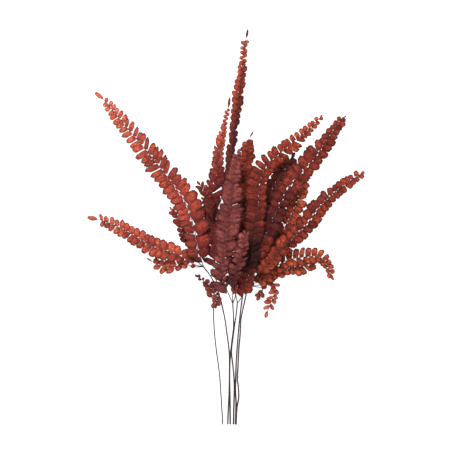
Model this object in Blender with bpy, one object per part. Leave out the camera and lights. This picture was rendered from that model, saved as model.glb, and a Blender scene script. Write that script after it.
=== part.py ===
"""A loose bunch of six cut bracken fronds lying on a flat surface. Metres, +Z up.

Each frond is one wiry stipe that forks into short arms, and every arm carries a pinna: a thin
rachis with a row of flat pinnules down both sides and one narrow leaflet at its tip. The cut
ends of the stipes and the tips of the longest pinnae touch the surface, z = 0, and the pinnae
between them lie over one another in layers.
"""

from math import cos, pi, radians, sin

import bpy
import numpy as np

MM = 0.001

# Driving dimensions, in millimetres
STIPE_RADII = {  # at the cut end and at the fork
    "stipe_1": (0.95, 0.9), "stipe_2": (1.2, 0.95), "stipe_3": (1.25, 1.0), "stipe_4": (1.25, 1.0),
    "stipe_5": (1.25, 1.0), "stipe_6": (1.25, 1.0),
}
ARM_RADIUS = (0.8, 0.65)  # where the arm leaves the fork and where its pinna begins
STIPE_SIDES = 8
ARM_SIDES = 6
STIPE_STEP = 13.0  # distance between the rings of a stipe
ARM_STEP = 4.5
FORK_RUN_ON = 1.6  # how far a stipe runs on past its fork, so that the arms start inside it
JOINT_GAP = 0.4  # clearance between an arm and the rachis that continues it
BLADE_THICKNESS = 0.8
RACHIS_HALF_WIDTH = 0.8
BARE_STEP = 12.0  # distance between the stations of a rachis below its first pinnule
PINNULE_BASE_SHARE = 0.43  # half of a pinnule's foot, as a share of the pitch
PINNULE_ANGLE = radians(66)  # between a pinnule and the rachis
TERMINAL_LENGTH = 11.0
TERMINAL_HALF_WIDTH = 2.6
ROUTE_SAMPLES = 400
CENTRE = (0.0, -1.0)  # middle of the bunch on the surface, in the routes' millimetres

STIPE_COLOUR = (0.045, 0.022, 0.020, 1.0)
PINNA_COLOURS = {
    "coral": (0.52, 0.10, 0.055, 1.0),
    "brick": (0.33, 0.045, 0.022, 1.0),
    "mauve": (0.21, 0.065, 0.062, 1.0),
    "brown": (0.15, 0.035, 0.025, 1.0),
}

# Each stipe's centreline from its cut end to its fork, in millimetres
STIPES = {
    "stipe_1": [
        (-5, -299, 1.1), (-7, -266, 1.1), (-10, -223, 1.6), (-15, -185, 2.5), (-18, -154, 4),
        (-19, -125, 7), (-18, -103, 11), (-16, -90, 14), (-14, -78, 17),
    ],
    "stipe_2": [
        (2.5, -299, 1.3), (3.3, -275, 1.3), (4.6, -249, 1.3), (5, -201, 1.3), (4.2, -185, 2),
        (1.4, -163, 3.2), (-2.4, -137, 6), (-9, -108, 12), (-15, -91, 19), (-24, -74, 23),
        (-34, -61, 26),
    ],
    "stipe_3": [
        (6.3, -299, 1.3), (5.8, -258, 3.6), (5.2, -224, 5.8), (6.2, -198, 6.9), (8.4, -176, 7.8),
        (11.2, -152, 10.4), (11, -134, 15), (10, -116, 23),
    ],
    "stipe_4": [
        (11, -299, 1.3), (11.6, -274, 2.6), (12.3, -249, 4.1), (12, -232, 4.3), (10, -208, 4.1),
        (8, -189, 4.1), (10, -171, 4.8), (13, -148, 6.8), (15.3, -132, 9), (17, -116, 13),
    ],
    "stipe_5": [
        (14.2, -299, 1.3), (15, -268, 1.3), (14.2, -249, 1.3), (14.4, -231, 1.3), (15.6, -198, 1.3),
        (19, -154, 2.4), (21.2, -134, 4), (24.4, -108, 8), (27.6, -94, 11), (30, -87, 13),
    ],
    "stipe_6": [
        (15, -299, 4.3), (16.2, -275, 3.6), (19, -258, 2.6), (18.2, -240, 3.4), (17, -230, 4.3),
        (18.2, -206, 4.4), (19.2, -185, 4.2), (21.2, -163, 5), (22.4, -141, 7.2), (25.4, -125, 9.4),
        (30, -103, 14), (32, -86, 18.5),
    ],
}


def pinna(route, arm, bare, left, right, pitch, droop, turn=0):
    """The shape of one pinna.

    route: centreline from the fork to the tip, in mm. arm: how much of it belongs to the stipe.
    bare: where the first pinnule stands, measured from the fork. left, right and pitch: the
    lengths of the pinnules in the two rows and their spacing, in mm, each as pairs of (share of
    the way from the first pinnule to the tip, value). droop: how far the pinnules hang below the
    rachis, in degrees. turn: of the whole blade about the rachis, in degrees.
    """
    return {
        "route": route, "arm": arm, "bare": bare, "left": left, "right": right, "pitch": pitch,
        "droop": radians(droop), "turn": radians(turn),
    }


PINNAE = {
    "stipe_1": {
        "centre_left": pinna(
            [(-14, -78, 17), (-17, -50, 26), (-21, -14, 33), (-24, 20, 37), (-22, 41, 39),
             (-14.5, 80, 41), (-8.5, 118, 40), (-1.5, 156, 37), (3, 176, 34), (6.5, 193, 31)],
            18, 23, [(0, 20), (0.15, 15), (0.56, 15), (0.68, 16), (0.76, 9), (0.83, 5.5), (1, 4)],
            [(0, 14), (0.25, 20), (0.48, 22), (0.6, 10.5), (0.76, 7.5), (0.83, 5.5), (1, 4)],
            [(0, 10), (0.6, 9), (0.7, 7), (1, 7)], 14),
        "short_upright": pinna(
            [(-14, -78, 17), (-13, -50, 31), (-17, -10, 46), (-24, 28, 56), (-33, 52, 61),
             (-43, 67, 65)],
            18, 98, [(0, 14), (0.6, 13), (1, 10)], [(0, 12), (0.6, 12), (1, 9)],
            [(0, 8), (1, 6.5)], 24),
        "low_left": pinna(
            [(-19, -118, 8), (-22, -100, 7), (-26, -89, 5.5), (-36, -81, 4), (-47, -73, 2.5)],
            10, 15, [(0, 10.5), (0.4, 9), (0.6, 5), (1, 5)], [(0, 11), (0.4, 10), (0.6, 5), (1, 5)],
            [(0, 8), (1, 7)], 14),
        "hanging_left": pinna(
            [(-17.7, -101, 11.4), (-16, -99, 15.5), (-14.5, -102, 18), (-14.5, -111, 17.5),
             (-17, -124, 16)],
            5, 9, [(0, 5), (0.3, 9), (1, 8)], [(0, 8), (1, 8)], [(0, 6.5), (1, 6)], 10),
    },
    "stipe_2": {
        "upper_left": pinna(
            [(-34, -61, 26), (-37, -50, 32), (-42, -37, 39), (-47, -6, 48), (-60, 34, 50),
             (-80, 63, 48), (-111, 103, 43), (-153, 153, 29), (-182, 188, 11), (-197, 202, 2.5)],
            4, 12,
            [(0, 15), (0.05, 18), (0.2, 22), (0.5, 21.5), (0.6, 18.5), (0.8, 13), (0.92, 8.5),
             (1, 5)],
            [(0, 14), (0.07, 24), (0.37, 24), (0.4, 18), (0.44, 24), (0.55, 22), (0.64, 18),
             (0.8, 14), (0.92, 8.5), (1, 5)],
            [(0, 12), (0.35, 10.2), (1, 8.5)], 12),
        "left_edge_on": pinna(
            [(-34, -61, 26), (-43, -53, 26.5), (-53, -34, 28), (-62, -14, 30), (-70, 6, 31),
             (-84, 29, 30)],
            14, 44, [(0, 12), (0.6, 10), (1, 5)], [(0, 10), (0.6, 8), (1, 4)],
            [(0, 9), (1, 7)], 12, turn=20),
        "lower_left": pinna(
            [(-34, -61, 26), (-49, -57, 27), (-65, -47, 28), (-86, -38, 28), (-112, -30, 27),
             (-141, -12.5, 22), (-177, 5, 10), (-209, 14, 2)],
            9, 14.2, [(0, 7), (0.1, 10), (0.22, 17), (0.4, 17), (0.7, 13), (0.9, 8.5), (1, 6)],
            [(0, 17), (0.4, 17), (0.7, 13), (0.9, 9.5), (1, 5)],
            [(0, 11), (0.5, 9.5), (1, 8)], 14),
        "left_below": pinna(
            [(-34, -61, 26), (-48, -61, 21), (-64, -57, 17), (-81, -62, 14), (-103, -58, 11),
             (-119, -48, 8)],
            14, 28, [(0, 9), (0.15, 9), (0.3, 14), (0.5, 14), (0.8, 11), (1, 6)],
            [(0, 12), (0.5, 12), (1, 6)],
            [(0, 11.5), (1, 8.5)], 24),
    },
    "stipe_3": {
        "centre_front": pinna(
            [(10, -116, 23), (3, -100, 32), (-6, -76, 45), (-7, -60, 53), (-1, -34, 64),
             (3, 1, 70), (7, 31, 70), (10, 67, 66), (13, 88, 63), (16, 104, 60), (21, 115, 57)],
            20, 26, [(0, 20), (0.3, 19), (0.5, 19), (0.65, 18.5), (0.77, 14), (0.87, 9), (1, 7)],
            [(0, 10), (0.15, 13), (0.3, 19.5), (0.45, 21.5), (0.6, 18.5), (0.75, 14.5), (0.87, 9), (1, 7)],
            [(0, 9), (0.3, 8.4), (1, 7)], 14),
        "tallest": pinna(
            [(10, -116, 23), (14, -102, 29), (10, -70, 38), (3, -20, 46), (1, 30, 50),
             (3.5, 75, 50), (9.5, 127, 47), (15, 168, 44), (20, 205, 39), (24, 238, 30),
             (27.5, 271, 16), (34, 297, 2.5)],
            12, 17, [(0, 12), (0.5, 12.5), (0.66, 13), (0.75, 15.5), (0.82, 13), (0.88, 6), (0.93, 9),
                     (1, 5)],
            [(0, 8), (0.15, 9), (0.5, 10.5), (0.66, 12.5), (0.75, 14), (0.82, 13), (0.88, 9),
             (1, 7)],
            [(0, 9), (0.8, 9), (1, 8)], 34),
        "front_fork": pinna(
            [(10, -116, 23), (10, -100, 33), (12, -78, 46), (16.5, -58, 57), (21, -45, 63),
             (24, -33, 68), (26, -20, 70), (27, -6, 69)],
            20, 34, [(0, 11), (0.5, 12), (1, 9)], [(0, 14), (0.5, 14), (1, 9)],
            [(0, 9), (1, 8)], 12, turn=16),
    },
    "stipe_4": {
        "behind_centre": pinna(
            [(17, -116, 13), (15, -100, 16), (20, -60, 26), (24, -20, 33), (27, 30, 37),
             (28, 80, 37), (31, 105, 35), (33, 128, 32), (42, 142, 28)],
            16, 26, [(0, 14), (0.5, 14), (0.8, 13), (0.9, 9), (1, 5)],
            [(0, 14), (0.5, 14), (0.8, 13.5), (0.9, 11), (1, 5)],
            [(0, 9.5), (1, 7.5)], 16),
        "curving_right": pinna(
            [(17, -116, 13), (25, -103, 22), (33, -75, 32), (42, -21, 49), (47, 22, 54),
             (49, 62, 54), (61, 91, 52), (85, 112, 49), (110, 134, 45), (132, 153, 39),
             (144, 166, 35)],
            11, 18, [(0, 13), (0.3, 20), (0.55, 20.5), (0.62, 17), (0.74, 14), (0.84, 9.5), (1, 5)],
            [(0, 13), (0.5, 16), (0.6, 17), (0.78, 17), (0.86, 11.5), (1, 5)],
            [(0, 9.6), (0.6, 9.2), (1, 7.5)], 12),
    },
    "stipe_5": {
        "arching_right": pinna(
            [(30, -87, 13), (50, -79, 15), (70, -64, 18), (93, -51, 22), (121, -46, 24),
             (140, -46, 21), (153, -60, 10), (161, -82, 2)],
            16, 26, [(0, 14.5), (0.5, 14.5), (0.7, 12), (0.8, 9), (1, 6)],
            [(0, 14), (0.5, 15), (0.65, 12), (0.8, 8), (1, 6)],
            [(0, 10), (0.7, 9), (1, 7.5)], 12),
        "arching_under": pinna(
            [(30, -87, 13), (52, -84, 11), (72, -74, 11), (92, -65, 11), (115, -60, 10),
             (138, -54, 8)],
            12, 18, [(0, 13), (0.7, 12), (1, 8)], [(0, 10), (0.25, 10), (0.45, 14), (0.7, 15), (1, 9)],
            [(0, 9.5), (1, 8)], 10),
        "hanging_right": pinna(
            [(30, -87, 13), (46, -90, 6), (65, -83, 3.4), (74.5, -92, 3), (70, -109, 2.6),
             (58.5, -138, 2)],
            14, 24, [(0, 8), (1, 9)], [(0, 7), (0.5, 11), (1, 9)],
            [(0, 8.5), (1, 7)], 8),
        "small_low": pinna(
            [(30, -87, 13), (42, -91, 9.5), (53, -93, 7), (55, -99, 6.5), (50, -106, 6),
             (46, -112, 5.5)],
            10, 26, [(0, 8), (1, 8)], [(0, 8), (1, 8)], [(0, 8), (1, 8)], 8),
        "back_inner": pinna(
            [(30, -87, 13), (36, -72, 18.5), (53, -50, 21), (68, -21, 21.5), (80, 12, 21)],
            16, 26, [(0, 15), (0.7, 14), (1, 9)], [(0, 15), (0.7, 14), (1, 9)],
            [(0, 10.5), (1, 9)], 12),
    },
    "stipe_6": {
        "lower_right": pinna(
            [(32, -86, 18.5), (46, -73, 25), (68, -50, 33), (97, -20.5, 37), (120.5, 3, 37),
             (140, 29, 34), (164, 51.2, 25), (193, 72.2, 10), (209, 81.5, 2.5)],
            16, 26, [(0, 15), (0.25, 17), (0.4, 18), (0.6, 14.5), (0.8, 12), (0.93, 9), (1, 9)],
            [(0, 14), (0.25, 14.5), (0.38, 17.5), (0.6, 14), (0.8, 11.5), (0.93, 9), (1, 9)],
            [(0, 9), (0.3, 10.5), (0.5, 10.5), (1, 8)], 12),
        "upper_right": pinna(
            [(32, -86, 18.5), (38, -66, 29), (53, -28, 41), (77, 26, 44), (96, 60, 43),
             (128, 97, 38), (149, 125, 28), (171, 158, 8), (182, 166, 3)],
            16, 40, [(0, 16), (0.45, 17), (0.6, 20), (0.7, 20), (0.76, 12.5), (0.92, 9), (1, 6)],
            [(0, 16), (0.45, 17), (0.55, 18), (0.8, 15), (0.92, 10.5), (1, 6)],
            [(0, 12), (0.6, 12.5), (0.85, 10.5), (1, 7.5)], 12),
        "back_right": pinna(
            [(32, -86, 18.5), (47, -62, 21.5), (70, -28, 25.5), (91, 4, 27.5), (107, 39, 27),
             (116, 78, 25), (119, 94, 24)],
            16, 44, [(0, 15), (0.7, 14), (1, 9)], [(0, 16), (0.2, 20), (0.4, 18), (0.7, 14), (1, 9)],
            [(0, 11), (0.6, 9.5), (1, 8)], 12),
        "back_middle": pinna(
            [(32, -86, 18.5), (38, -60, 24), (47, -14, 30), (60, 25, 31.5), (73, 62, 31),
             (104, 110, 28)],
            16, 46, [(0, 15), (0.8, 14), (1, 9)], [(0, 15), (0.8, 14), (1, 9)],
            [(0, 11), (1, 9.5)], 12),
    },
}

# Which pinnae share a colour
PINNAE_BY_COLOUR = {
    "coral": ("centre_left", "upper_left", "lower_left", "left_below", "hanging_right"),
    "brick": (
        "short_upright", "left_edge_on", "tallest", "behind_centre", "curving_right",
        "arching_right", "arching_under", "lower_right", "upper_right", "back_right",
    ),
    "mauve": ("centre_front", "front_fork"),
    "brown": ("low_left", "hanging_left", "small_low", "back_inner", "back_middle"),
}


def material(name, colour, roughness):
    made = bpy.data.materials.new(name)
    made.use_nodes = True
    shader = made.node_tree.nodes["Principled BSDF"]
    shader.inputs["Base Color"].default_value = colour
    shader.inputs["Roughness"].default_value = roughness
    shader.inputs["Metallic"].default_value = 0.0
    made.diffuse_color = colour
    return made


def smooth_route(points):
    """Many points, evenly spaced, on the Catmull-Rom curve through the given ones, in metres."""
    knots = np.array(points, float)
    knots[:, :2] -= CENTRE
    padded = np.vstack([2 * knots[0] - knots[1], knots, 2 * knots[-1] - knots[-2]])
    place = np.linspace(0, len(knots) - 1, ROUTE_SAMPLES)
    span = np.minimum(place.astype(int), len(knots) - 2)
    u = (place - span)[:, None]
    before, start, end, after = (padded[span + step] for step in range(4))
    curve = 0.5 * (
        2 * start
        + (end - before) * u
        + (2 * before - 5 * start + 4 * end - after) * u**2
        + (3 * start - before - 3 * end + after) * u**3
    )
    return along(curve * MM, np.linspace(0, 1, ROUTE_SAMPLES) * route_length(curve * MM))


def route_length(curve):
    return np.linalg.norm(np.diff(curve, axis=0), axis=1).sum()


def along(curve, distances):
    """The curve's points at these distances from its start."""
    reached = np.append(0, np.cumsum(np.linalg.norm(np.diff(curve, axis=0), axis=1)))
    return np.stack([np.interp(distances, reached, curve[:, axis]) for axis in range(3)], axis=1)


def unit(vectors):
    return vectors / np.linalg.norm(vectors, axis=-1, keepdims=True)


def frames(curve, distances, turn):
    """Point, forward, right and up at each distance; right and up are turned about forward."""
    step = 0.5 * MM
    points = along(curve, distances)
    forward = unit(along(curve, distances + step) - along(curve, distances - step))
    level = unit(np.cross(forward, (0.0, 0.0, 1.0)))
    plumb = np.cross(level, forward)
    right = level * cos(turn) - plumb * sin(turn)
    return points, forward, right, np.cross(right, forward)


def new_object(name, vertices, faces, finish):
    mesh = bpy.data.meshes.new(name)
    mesh.from_pydata([tuple(vertex) for vertex in vertices], [], faces)
    mesh.materials.append(finish)
    mesh.validate()
    made = bpy.data.objects.new(name, mesh)
    bpy.context.scene.collection.objects.link(made)
    return made


def tube(name, curve, radii, sides, step, finish):
    """A closed round rod along the curve, tapering from the first radius to the second."""
    total = route_length(curve)
    distances = np.linspace(0, total, max(3, round(total / (step * MM)) + 1))
    inner = np.clip(distances, 0.6 * MM, total - 0.6 * MM)
    _, _, right, up = frames(curve, inner, 0.0)
    points = along(curve, distances)
    radius = np.linspace(radii[0], radii[1], len(distances))[:, None, None] * MM
    angle = (np.arange(sides) + 0.5) * 2 * pi / sides
    ring = right[:, None] * np.cos(angle)[:, None] + up[:, None] * np.sin(angle)[:, None]
    vertices = (points[:, None] + radius * ring).reshape(-1, 3)
    faces = []
    for row in range(len(distances) - 1):
        for side in range(sides):
            here, there = row * sides + side, row * sides + (side + 1) % sides
            faces.append((here, here + sides, there + sides, there))
    last = (len(distances) - 1) * sides
    faces.append(tuple(range(sides)))
    faces.append(tuple(range(last + sides - 1, last - 1, -1)))
    made = new_object(name, vertices, faces, finish)
    made.data.shade_smooth()
    made.data.set_sharp_from_angle(angle=radians(50))
    return made


def cut_short(curve, length):
    """The part of the curve up to this length."""
    return along(curve, np.linspace(0, length, 60))


def stipe(name, pinnae, finish):
    """One stipe as a rod, with an arm for each of its pinnae joined on by a Boolean union."""
    curve = smooth_route(STIPES[name])
    end = unit(curve[-1] - curve[-4])
    run_on = curve[-1] + end * FORK_RUN_ON * MM
    stem = tube(name, np.vstack([curve, run_on]), STIPE_RADII[name], STIPE_SIDES, STIPE_STEP, finish)
    for label, design in pinnae.items():
        arm_curve = cut_short(smooth_route(design["route"]), design["arm"] * MM)
        arm = tube(f"{name}_arm_{label}", arm_curve, ARM_RADIUS, ARM_SIDES, ARM_STEP, finish)
        arm.hide_render = True
        arm.display_type = "WIRE"
        union = stem.modifiers.new(f"join_{label}", "BOOLEAN")
        union.operation = "UNION"
        union.solver = "EXACT"
        union.object = arm
    return stem


def knots_at(knots, share):
    """The value, at a share of the way, of a line drawn through (share, value) knots."""
    shares, values = np.transpose(knots)
    return np.interp(share, shares, values)


def pinnule_places(design, total):
    """Distances of the pinnule pairs from the fork, in mm."""
    places = [design["bare"]]
    end = total / MM - TERMINAL_LENGTH
    while places[-1] < end:
        share = (places[-1] - design["bare"]) / (end - design["bare"])
        places.append(places[-1] + knots_at(design["pitch"], share))
    return np.array(places[:-1])


def blade(design):
    """Middle surface of a pinna: points, their normals, and faces that run anticlockwise from above."""
    curve = smooth_route(design["route"])
    total = route_length(curve)
    places = pinnule_places(design, total)
    share = (places - places[0]) / (total / MM - places[0])
    foot = np.gradient(places) * PINNULE_BASE_SHARE
    start = design["arm"] + JOINT_GAP
    bare = np.arange(start, places[0] - foot[0] - 2.0, BARE_STEP)
    stations = np.concatenate([bare, np.stack([places - foot, places + foot], axis=1).ravel()])
    tip_place = total / MM - TERMINAL_LENGTH * 0.55
    stations = np.append(stations, max(tip_place - 3.0, stations[-1] + 0.8))
    points, forward, right, up = frames(curve, stations * MM, design["turn"])

    half = RACHIS_HALF_WIDTH * MM
    vertices = list(points - right * half) + list(points + right * half)
    normals = list(up) + list(up)
    count = len(stations)
    faces = [(row, row + count, row + count + 1, row + 1) for row in range(count - 1)]

    lengths = {row: knots_at(design[row], share) * MM for row in ("left", "right")}
    for pair in range(len(places)):
        rear = len(bare) + 2 * pair
        front = rear + 1
        for row, side, edge in (("left", -1, 0), ("right", 1, count)):
            reach = lengths[row][pair]
            out = side * right[rear] * cos(design["droop"]) - up[rear] * sin(design["droop"])
            lean = forward[rear] * cos(PINNULE_ANGLE) + out * sin(PINNULE_ANGLE)
            normal = unit(np.cross(out * side, forward[rear]))
            first = len(vertices)
            foot_rear, foot_front = vertices[edge + rear], vertices[edge + front]
            vertices += [foot_rear + lean * reach, foot_front + lean * reach * 0.82]
            normals += [normal] * 2
            corners = (edge + rear, first, first + 1, edge + front)
            faces.append(corners if side == 1 else corners[::-1])

    tip = len(vertices)
    last = count - 1
    wide = TERMINAL_HALF_WIDTH * MM
    middle = 0.5 * (points[last] + curve[-1])
    vertices += [middle + right[last] * wide, curve[-1], middle - right[last] * wide]
    normals += [up[last]] * 3
    faces.append((last, last + count, tip, tip + 1, tip + 2))
    return np.array(vertices), np.array(normals), faces


def pinna_plate(name, design, finish):
    """The pinna's middle surface given its thickness, with a wall round its whole outline."""
    middle, normals, faces = blade(design)
    half = 0.5 * BLADE_THICKNESS * MM
    count = len(middle)
    vertices = np.vstack([middle + normals * half, middle - normals * half])
    shell = list(faces) + [tuple(corner + count for corner in face[::-1]) for face in faces]
    edges = {(a, b) for face in faces for a, b in zip(face, face[1:] + face[:1])}
    for a, b in sorted(edges):
        if (b, a) not in edges:
            shell.append((a, a + count, b + count, b))
    made = new_object(name, vertices, shell, finish)
    made.data.shade_flat()
    return made


def clear_scene():
    for item in list(bpy.data.objects):
        bpy.data.objects.remove(item, do_unlink=True)


def main():
    clear_scene()
    stem_finish = material("stipe", STIPE_COLOUR, 0.35)
    finishes = {name: material(f"pinna_{name}", colour, 0.6) for name, colour in PINNA_COLOURS.items()}
    colour_of = {label: name for name, labels in PINNAE_BY_COLOUR.items() for label in labels}
    for name, pinnae in PINNAE.items():
        stipe(name, pinnae, stem_finish)
        for label, design in pinnae.items():
            pinna_plate(f"pinna_{label}", design, finishes[colour_of[label]])


main()
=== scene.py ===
"""Looks of a loose bunch of six cut, dried bracken fronds lying on a pale surface. Metres, +Z up.

A pinna (one long blade) is a thin rachis with two rows of stalked pinnules and a narrow leaflet at
its tip. Every pinnule is a thin closed shell worked out from a disc; stipes and rachises are
round rods carried along smooth routes.
"""

from math import cos, pi, radians, sin

import bpy
import numpy as np
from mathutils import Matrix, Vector


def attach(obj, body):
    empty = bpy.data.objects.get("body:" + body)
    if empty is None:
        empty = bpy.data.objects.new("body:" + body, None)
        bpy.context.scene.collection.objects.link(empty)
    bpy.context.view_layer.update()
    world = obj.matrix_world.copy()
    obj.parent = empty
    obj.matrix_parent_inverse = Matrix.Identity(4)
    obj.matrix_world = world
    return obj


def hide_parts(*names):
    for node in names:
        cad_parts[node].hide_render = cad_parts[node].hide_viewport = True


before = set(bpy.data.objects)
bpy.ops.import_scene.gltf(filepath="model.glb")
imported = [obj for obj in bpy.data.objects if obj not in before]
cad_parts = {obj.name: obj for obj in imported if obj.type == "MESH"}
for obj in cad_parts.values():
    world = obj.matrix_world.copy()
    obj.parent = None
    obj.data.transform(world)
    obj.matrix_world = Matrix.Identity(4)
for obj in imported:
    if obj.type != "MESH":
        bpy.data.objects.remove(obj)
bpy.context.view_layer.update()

MM = 0.001

# ---------------------------------------------------------------- design, in millimetres and degrees
CENTRE = (0.0, -1.0)  # middle of the bunch, in the routes' millimetres
ROUTE_SAMPLES = 400

STIPE_RADII = {  # at the cut end and at the fork
    "stipe_1": (0.95, 0.9), "stipe_2": (1.2, 0.95), "stipe_3": (1.25, 1.0), "stipe_4": (1.25, 1.0),
    "stipe_5": (1.25, 1.0), "stipe_6": (1.25, 1.0),
}
ARM_RADIUS = (0.8, 0.6)  # at the fork and where the rachis begins
RACHIS_RADIUS = (0.6, 0.4)  # where it leaves its arm and at its tip
ARM_END = 1.0  # how far an arm runs on past its own length, to hold the rachis
RACHIS_START = 0.4  # likewise, how far past it the rachis begins
STALK_RADIUS = 0.2
STALK_ROOT = 0.1  # how far a stalk runs back into the rachis
STALK_HOLD = 0.12  # and on into its pinnule, as a share of the pinnule's length
LEAF_THICKNESS = 0.3
LEAST_HEIGHT = 0.25  # lowest that a pinnule hangs above the surface
FULL_STALK_LENGTH = 12  # pinnules shorter than this have shorter stalks,
LEAST_STALK = 0.3  # down to this share
BROADEST = 0.95  # greatest width over length

# Rods: sides, and distance between rings
STIPE_MESH = (12, 3.0)
ARM_MESH = (8, 2.0)
RACHIS_MESH = (6, 3.0)
STALK_SIDES = 4
STIPE_GROOVES = 0.1  # depth of a stipe's grooves, as a share of its radius

# A pinnule: points from foot to end and from side to side, and shares of its length
LEAF_GRID = (8, 6)
FOOT_REACH = 0.45  # how far out it still widens
SWEEP = 0.06  # how far its end leans towards the blade's tip
RIPPLE = 0.06  # height of its wavy rim
RIPPLE_WAVES = 3.0  # across its width
RIPPLE_PHASE = 9.0  # so that pinnules of other tones ripple otherwise
VEIN_APEX = 0.35  # how far behind the foot the veins meet

# How uneven the pinnules are: standard deviations. The first five grow with a blade's looseness
UNEVEN_LEAN = 5  # degrees
UNEVEN_DROOP = radians(6)
UNEVEN_TILT = radians(11)
UNEVEN_LENGTH = 0.06  # this and those that follow are shares
UNEVEN_WIDTH = 0.08
UNEVEN_PLACE = 0.06
UNEVEN_SHADE = 0.14
UNEVEN_BEND = 0.4
UNEVEN_CUP = 0.5
UNEVEN_RIM = 0.045
LENGTHENED = 1.02  # closes the gaps that unevenness opens
WIDENED = 1.04
OVERRUN = 2  # how far the last pinnule may stray past the end of its row
FIRST_SEED = 12

STIPES = {
    "stipe_1": [
        (-5, -299, 1.1), (-7, -266, 1.1), (-10, -223, 1.6), (-15, -185, 2.5), (-18, -154, 4),
        (-19, -125, 7), (-18, -103, 11), (-16, -90, 14), (-14, -78, 17),
    ],
    "stipe_2": [
        (2.5, -299, 1.3), (3.3, -275, 1.3), (4.6, -249, 1.3), (5, -201, 1.3), (4.2, -185, 2),
        (1.4, -163, 3.2), (-2.4, -137, 6), (-9, -108, 12), (-15, -91, 19), (-24, -74, 23),
        (-34, -61, 26),
    ],
    "stipe_3": [
        (6.3, -299, 1.3), (5.8, -258, 3.6), (5.2, -224, 5.8), (6.2, -198, 6.9), (8.4, -176, 7.8),
        (11.2, -152, 10.4), (11, -134, 15), (10, -116, 23),
    ],
    "stipe_4": [
        (11, -299, 1.3), (11.6, -274, 2.6), (12.3, -249, 4.1), (12, -232, 4.3), (10, -208, 4.1),
        (8, -189, 4.1), (10, -171, 4.8), (13, -148, 6.8), (15.3, -132, 9), (17, -116, 13),
    ],
    "stipe_5": [
        (14.2, -299, 1.3), (15, -268, 1.3), (14.2, -249, 1.3), (14.4, -231, 1.3), (15.6, -198, 1.3),
        (19, -154, 2.4), (21.2, -134, 4), (24.4, -108, 8), (27.6, -94, 11), (30, -87, 13),
    ],
    "stipe_6": [
        (15, -299, 4.3), (16.2, -275, 3.6), (19, -258, 2.6), (18.2, -240, 3.4), (17, -230, 4.3),
        (18.2, -206, 4.4), (19.2, -185, 4.2), (21.2, -163, 5), (22.4, -141, 7.2), (25.4, -125, 9.4),
        (30, -103, 14), (32, -86, 18.5),
    ],
}


def pinna(route, arm, bare, left, right, pitch, droop, turn=0):
    """The shape of one pinna.

    route: centreline from the fork to the tip, in mm. arm: how much of it belongs to the stipe.
    bare: where the first pinnule stands, measured from the fork. left, right and pitch: the
    lengths of the pinnules in the two rows and their spacing, in mm, each as pairs of (share of
    the way from the first pinnule to the tip, value). droop: how far the pinnules hang below the
    rachis, in degrees. turn: of the whole blade about the rachis, in degrees.
    """
    return {
        "route": route, "arm": arm, "bare": bare, "left": left, "right": right, "pitch": pitch,
        "droop": radians(droop), "turn": radians(turn),
    }


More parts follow.
